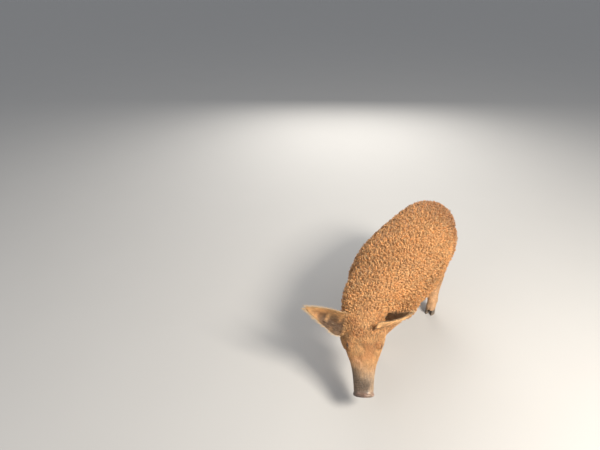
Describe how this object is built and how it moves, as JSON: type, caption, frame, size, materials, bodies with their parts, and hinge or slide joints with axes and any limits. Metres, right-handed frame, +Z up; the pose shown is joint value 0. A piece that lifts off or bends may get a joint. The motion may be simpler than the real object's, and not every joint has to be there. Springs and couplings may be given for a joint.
{
  "type": "mangalica pig",
  "caption": "Life-size model of a young red mangalica pig, standing with its head lowered and turned left to feed, with a short curly coat.",
  "frame": {"origin": "on the floor under the middle of the pig's bounding box", "axes": "+Z up, the pig faces -Y, its left side is +X"},
  "size_m": [0.4016, 1.0732, 0.5366],
  "materials": {
    "coat": "matte curly hair",
    "ear_skin": "matte haired skin",
    "eye_brown": "wet gloss",
    "horn": "worn horn"
  },
  "bodies": {
    "root": {"torso": "coat", "neck": "coat", "head": "coat", "tail": "coat", "ear_left": "ear_skin", "ear_right": "ear_skin", "eye_left": "eye_brown", "eye_right": "eye_brown", "leg_fore_left": "coat", "claw_fore_left_outer": "horn", "dewclaw_fore_left_outer": "horn", "claw_fore_left_inner": "horn", "dewclaw_fore_left_inner": "horn", "leg_fore_right": "coat", "claw_fore_right_outer": "horn", "dewclaw_fore_right_outer": "horn", "claw_fore_right_inner": "horn", "dewclaw_fore_right_inner": "horn", "leg_hind_left": "coat", "claw_hind_left_outer": "horn", "dewclaw_hind_left_outer": "horn", "claw_hind_left_inner": "horn", "dewclaw_hind_left_inner": "horn", "leg_hind_right": "coat", "claw_hind_right_outer": "horn", "dewclaw_hind_right_outer": "horn", "claw_hind_right_inner": "horn", "dewclaw_hind_right_inner": "horn"}
  },
  "joints": []
}
